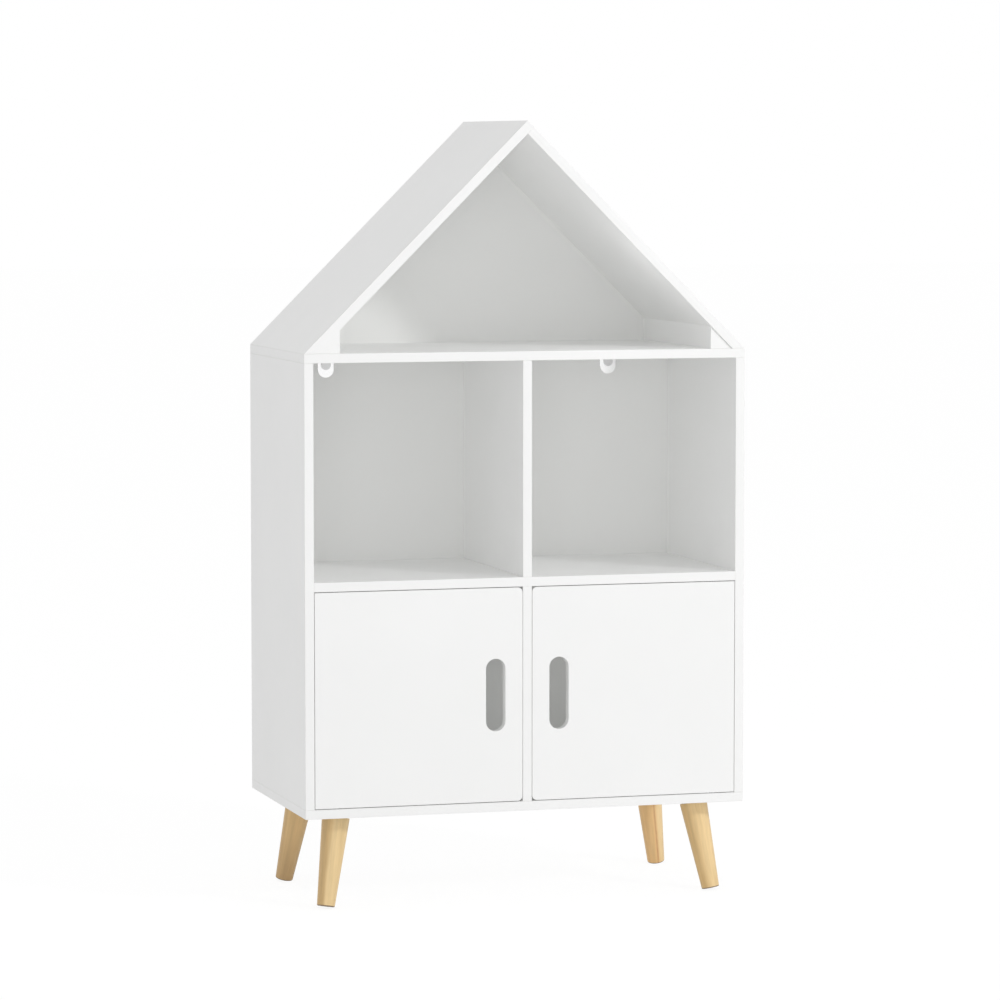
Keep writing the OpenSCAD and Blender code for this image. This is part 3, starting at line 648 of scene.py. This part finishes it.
def makeScrew(kind, diameter, length):
    # the shank points up +Z; a flat head's face or a pan head's bearing side is at the origin
    shape = screwShapes[kind]
    headRadius = shape["headSpread"] * diameter / 2
    disc = shape["height"] * diameter
    headFace = 0 if kind == "flat" else -disc
    bearing = headFace + disc
    clearPicks()
    bpy.ops.mesh.primitive_cylinder_add(vertices=screwLook["sides"], radius=headRadius, depth=disc,
                                        location=(0, 0, headFace + disc / 2))
    screw = bpy.context.object
    applyPlace(screw)
    pickTopFaces(screw)
    if kind == "flat":
        narrowing = diameter / (2 * headRadius)
        cone = shape["cone"] * diameter
        pushPicked(cone)
        bpy.ops.transform.resize(value=(narrowing, narrowing, 1), center_override=(0, 0, bearing))
        pushPicked(length - bearing - cone)
    else:
        bpy.ops.mesh.inset(thickness=headRadius - diameter / 2)
        pushPicked(length - bearing)
        pickEdges(screw, lambda a, b: max(a.z, b.z) < headFace + modelling["hair"])
        roundPicked(shape["rounding"] * diameter, shape["segments"])
    cutCross(screw, 2 * headRadius, headFace)
    smoothPiece(screw, screwLook["smoothAngle"])
    return screw


screwSets = {  # node: piece, kind, diameter and length in mm, which way the shank points, body
    "bottom_board_screws": ("bottomBoardScrews", "flat", 4, 40, "up", "carcass"),
    "mid_board_screws": ("atticFloorScrews", "flat", 4, 40, "down", "carcass"),
    "corner_block_screws": ("cornerBlockScrews", "flat", 3.5, 26, "up", "carcass"),
    "leg_plate_screws": ("legPlateScrews", "pan", 3.5, 9, "up", "carcass"),
    "wall_bracket_screws": ("wallBracketScrews", "pan", 3.5, 9, "up", "carcass"),
    "catch_screws": ("catchScrews", "pan", 2.5, 19, "up", "carcass"),
    "left_strike_screw": ("leftStrikeScrew", "flat", 2.5, 9, "front", "left_door"),
    "right_strike_screw": ("rightStrikeScrew", "flat", 2.5, 9, "front", "right_door"),
}
for nodeName, (pieceName, kind, diameter, length, way, body) in screwSets.items():
    pattern = makeScrew(kind, diameter * mm, length * mm)
    headHeight = 0 if kind == "flat" else screwShapes["pan"]["height"] * diameter * mm
    copies = []
    for number, (low, high) in enumerate(looseSolids(nodeName)):
        screw = copyOfPattern(pattern)
        middle = (low + high) / 2
        twist = screwLook["twist"] * number  # no two screws stop at the same turn
        if way == "up":
            screw.location = (middle.x, middle.y, low.z + headHeight)
            screw.rotation_euler = (0, 0, twist)
        elif way == "down":
            screw.location = (middle.x, middle.y, high.z - headHeight)
            screw.rotation_euler = (pi, 0, twist)
        else:
            screw.location = (middle.x, high.y - headHeight, middle.z)
            screw.rotation_euler = (pi / 2, twist, 0)
        applyPlace(screw)
        copies.append(screw)
    pickOnly(*copies)
    if len(copies) > 1:
        bpy.ops.object.join()
    joined = bpy.context.object
    joined.name = pieceName
    joined.data.name = pieceName
    paintWhole(joined, zincSteel)
    carryPiece(joined, body, nodeName)
    bpy.data.objects.remove(pattern)
print("screw sets made:", len(screwSets))

# the wall brackets are bent from sheet: the two bends are rounded first, then the burrs
bracketLook = {
    "sheet": 2 * mm, "outerBend": 3.2 * mm, "innerBend": 1.3 * mm, "bendSegments": 6,
    "burr": 0.25 * mm, "smoothAngle": 34,
}


def bendLine(corner, inset):
    # the edges along X that lie inset from the bracket's upper rear corner
    def wanted(a, b):
        return all(abs(p.y - corner.y + inset) < modelling["near"]
                   and abs(p.z - corner.z + inset) < modelling["near"] for p in (a, b))

    return wanted


for side in ("left", "right"):
    nodeName = side + "_wall_bracket"
    bracket = copyOfNode(nodeName, side + "WallBracket")
    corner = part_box(nodeName)[1]
    pickEdges(bracket, bendLine(corner, 0))
    roundPicked(bracketLook["outerBend"], bracketLook["bendSegments"])
    pickEdges(bracket, bendLine(corner, bracketLook["sheet"]))
    roundPicked(bracketLook["innerBend"], bracketLook["bendSegments"])
    pickEdges(bracket, everyEdge)
    roundPicked(bracketLook["burr"], modelling["burrSegments"])
    keepInBox(bracket, nodeName)
    smoothPiece(bracket, bracketLook["smoothAngle"])
    paintWhole(bracket, brightPlate)
    carryPiece(bracket, "carcass", nodeName)

smallParts = {  # node: piece, easing in mm, body, slot
    "wall_bracket_washers": ("wallBracketWashers", 0.3, "carcass", "zinc_steel"),
    "left_catch": ("leftCatch", 0.5, "carcass", "white_plastic"),
    "right_catch": ("rightCatch", 0.5, "carcass", "white_plastic"),
    "left_strike_plate": ("leftStrikePlate", 0.25, "left_door", "zinc_steel"),
    "right_strike_plate": ("rightStrikePlate", 0.25, "right_door", "zinc_steel"),
    "door_bushes": ("doorBushes", 0.15, "carcass", "grey_plastic"),
    "front_left_leg_plate": ("frontLeftLegPlate", 0.2, "carcass", "zinc_steel"),
    "front_right_leg_plate": ("frontRightLegPlate", 0.2, "carcass", "zinc_steel"),
    "back_left_leg_plate": ("backLeftLegPlate", 0.2, "carcass", "zinc_steel"),
    "back_right_leg_plate": ("backRightLegPlate", 0.2, "carcass", "zinc_steel"),
}
washerCap = {"radius": 2.85 * mm, "thickness": 0.5 * mm, "sunk": 0.15 * mm, "sides": 48}


def capHoles(washers, nodeName):
    # the photographed discs show no hole, so a thin cap closes each one near its front
    caps = [washers]
    for low, high in looseSolids(nodeName):
        middle = (low + high) / 2
        capY = low.y + washerCap["sunk"] + washerCap["thickness"] / 2
        clearPicks()
        bpy.ops.mesh.primitive_cylinder_add(
            vertices=washerCap["sides"], radius=washerCap["radius"], depth=washerCap["thickness"],
            rotation=(pi / 2, 0, 0), location=(middle.x, capY, middle.z))
        caps.append(bpy.context.object)
        applyPlace(bpy.context.object)
    pickOnly(*caps)
    bpy.ops.object.join()


for nodeName, (pieceName, easing, body, slotName) in smallParts.items():
    part = copyOfNode(nodeName, pieceName)
    pickEdges(part, everyEdge)
    roundPicked(easing * mm, modelling["burrSegments"])
    keepInBox(part, nodeName)
    if nodeName == "wall_bracket_washers":
        capHoles(part, nodeName)
    smoothPiece(part)
    paintWhole(part, finishOfSlot[slotName])
    carryPiece(part, body, nodeName)
print("fittings made")

studio = {
    "floorSize": 60.0, "floorTone": (0.90, 0.90, 0.90), "floorLift": 0.88, "floorGlow": 1.03,
    "worldLight": 0.74, "backdrop": 1.0, "bounces": 24, "diffuseBounces": 16,
}


def mixShaders(tree, amount, first, second):
    mixed = addNode(tree, "MixShader")
    feed(tree, amount, mixed.inputs["Fac"])
    feed(tree, first, mixed.inputs[1])
    feed(tree, second, mixed.inputs[2])
    return mixed.outputs["Shader"]


def forRays(tree, *rays):
    # 1 for the named kinds of ray and 0 for all others
    paths = addNode(tree, "LightPath")
    amount = paths.outputs[rays[0]]
    for ray in rays[1:]:
        amount = mathOf(tree, "MAXIMUM", amount, paths.outputs[ray])
    return amount


# the floor looks nearly white, yet keeps the object's shadow and lights the object as matt grey
clearPicks()
bpy.ops.mesh.primitive_plane_add(size=studio["floorSize"])
floor = bpy.context.object
floor.name = "studioFloor"
floorMaterial = bpy.data.materials.new("studioFloor")
floorMaterial.use_nodes = True
tree = floorMaterial.node_tree
tree.nodes.clear()
matt = addNode(tree, "BsdfDiffuse", Color=(*studio["floorTone"], 1))
bright = addNode(tree, "BsdfDiffuse", Color=(1, 1, 1, 1))
glow = addNode(tree, "Emission", Strength=studio["floorGlow"])
lifted = mixShaders(tree, studio["floorLift"], bright.outputs["BSDF"], glow.outputs["Emission"])
seen = forRays(tree, "Is Camera Ray", "Is Glossy Ray")
shown = mixShaders(tree, seen, matt.outputs["BSDF"], lifted)
feed(tree, shown, addNode(tree, "OutputMaterial").inputs["Surface"])
floor.data.materials.append(floorMaterial)

world = bpy.data.worlds.new("studioWorld")
bpy.context.scene.world = world
world.use_nodes = True
tree = world.node_tree
tree.nodes.clear()
lighting = addNode(tree, "Background", Strength=studio["worldLight"], Color=(1, 1, 1, 1))
backdrop = addNode(tree, "Background", Strength=studio["backdrop"], Color=(1, 1, 1, 1))
seen = forRays(tree, "Is Camera Ray", "Is Glossy Ray", "Is Transmission Ray")
shown = mixShaders(tree, seen, lighting.outputs["Background"], backdrop.outputs["Background"])
feed(tree, shown, addNode(tree, "OutputWorld").inputs["Surface"])


def hangLamp(name, kind, power, place):
    lamp = bpy.data.objects.new(name, bpy.data.lights.new(name, kind))
    lamp.data.energy = power
    lamp.location = place
    bpy.context.scene.collection.objects.link(lamp)
    return lamp


softboxes = {  # power, width and distance in metres, degrees right of the front, degrees up
    "keySoftbox": (41.0, 0.36, 4.2, 40, 21),
    "frontFill": (19.0, 1.5, 5.0, -19, 3),
}
aim = Vector((0, 0, 0.5))
for lampName, (power, width, away, turn, rise) in softboxes.items():
    turn = radians(turn)
    rise = radians(rise)
    toLamp = Vector((sin(turn) * cos(rise), -cos(turn) * cos(rise), sin(rise)))
    lamp = hangLamp(lampName, "AREA", power, aim + toLamp * away)
    lamp.rotation_euler = (-toLamp).to_track_quat("-Z", "Y").to_euler()
    lamp.data.shape = "SQUARE"
    lamp.data.size = width

# the photograph's cupboard and attic are lighter inside than the light through their openings
# would make them, so a weak soft lamp stands in each half of the cupboard and in the attic
insideFill = {
    "radius": 0.05, "cupboardPower": 0.07, "atticPower": 0.036, "atticPlace": (0.11, -0.14, 0.80),
}
shelfLow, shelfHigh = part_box("shelf")
dividerLow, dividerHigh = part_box("lower_divider")
leftMiddle = (dividerLow.x + shelfLow.x) / 2
rightMiddle = (dividerHigh.x + shelfHigh.x) / 2
cupboardMiddle = (dividerLow.z + dividerHigh.z) / 2
for lampName, power, place in (
    ("leftCupboardFill", insideFill["cupboardPower"], (leftMiddle, 0, cupboardMiddle)),
    ("rightCupboardFill", insideFill["cupboardPower"], (rightMiddle, 0, cupboardMiddle)),
    ("atticFill", insideFill["atticPower"], insideFill["atticPlace"]),
):
    lamp = hangLamp(lampName, "POINT", power, place)
    lamp.data.shadow_soft_size = insideFill["radius"]

view = {
    "place": (-1.6313, -5.5899, 0.9724), "turn": 16.335, "dip": 4.527, "lens": 159.518,
    "sensor": 36, "nearest": 0.1, "farthest": 200,
}
camera = bpy.data.objects.new("camera", bpy.data.cameras.new("camera"))
camera.data.lens = view["lens"]
camera.data.sensor_width = view["sensor"]
camera.data.clip_start = view["nearest"]
camera.data.clip_end = view["farthest"]
camera.location = view["place"]
camera.rotation_euler = (radians(90 - view["dip"]), 0, radians(-view["turn"]))
scene = bpy.context.scene
scene.collection.objects.link(camera)
scene.camera = camera
scene.view_settings.view_transform = "Standard"
scene.cycles.max_bounces = studio["bounces"]
scene.cycles.diffuse_bounces = studio["diffuseBounces"]

clearPicks()
print("scene ready")
